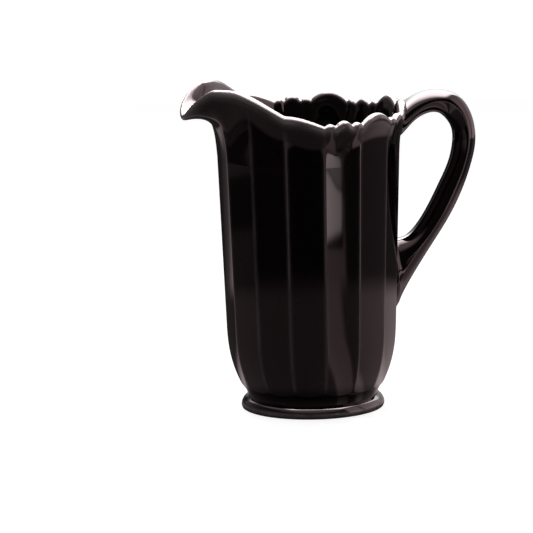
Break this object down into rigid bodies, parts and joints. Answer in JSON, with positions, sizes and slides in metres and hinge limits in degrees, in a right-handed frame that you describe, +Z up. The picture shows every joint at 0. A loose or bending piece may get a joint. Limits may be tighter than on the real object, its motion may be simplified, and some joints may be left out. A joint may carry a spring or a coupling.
{
  "type": "pouring jug",
  "caption": "Panelled black jug with a scalloped rolled rim, a beaked pouring lip, a bevelled loop handle and a round bead foot.",
  "frame": {"origin": "centre of the ring that the foot stands on", "axes": "+Z up along the jug's axis, +X towards the handle, -X towards the spout, XZ is the plane of symmetry"},
  "size_m": [0.2112, 0.1364, 0.2301],
  "materials": {
    "glaze": "glossy black glaze with a faint purple-brown cast"
  },
  "bodies": {
    "root": {"foot": "glaze", "body": "glaze", "collar": "glaze", "spout": "glaze", "handle": "glaze"}
  },
  "joints": []
}
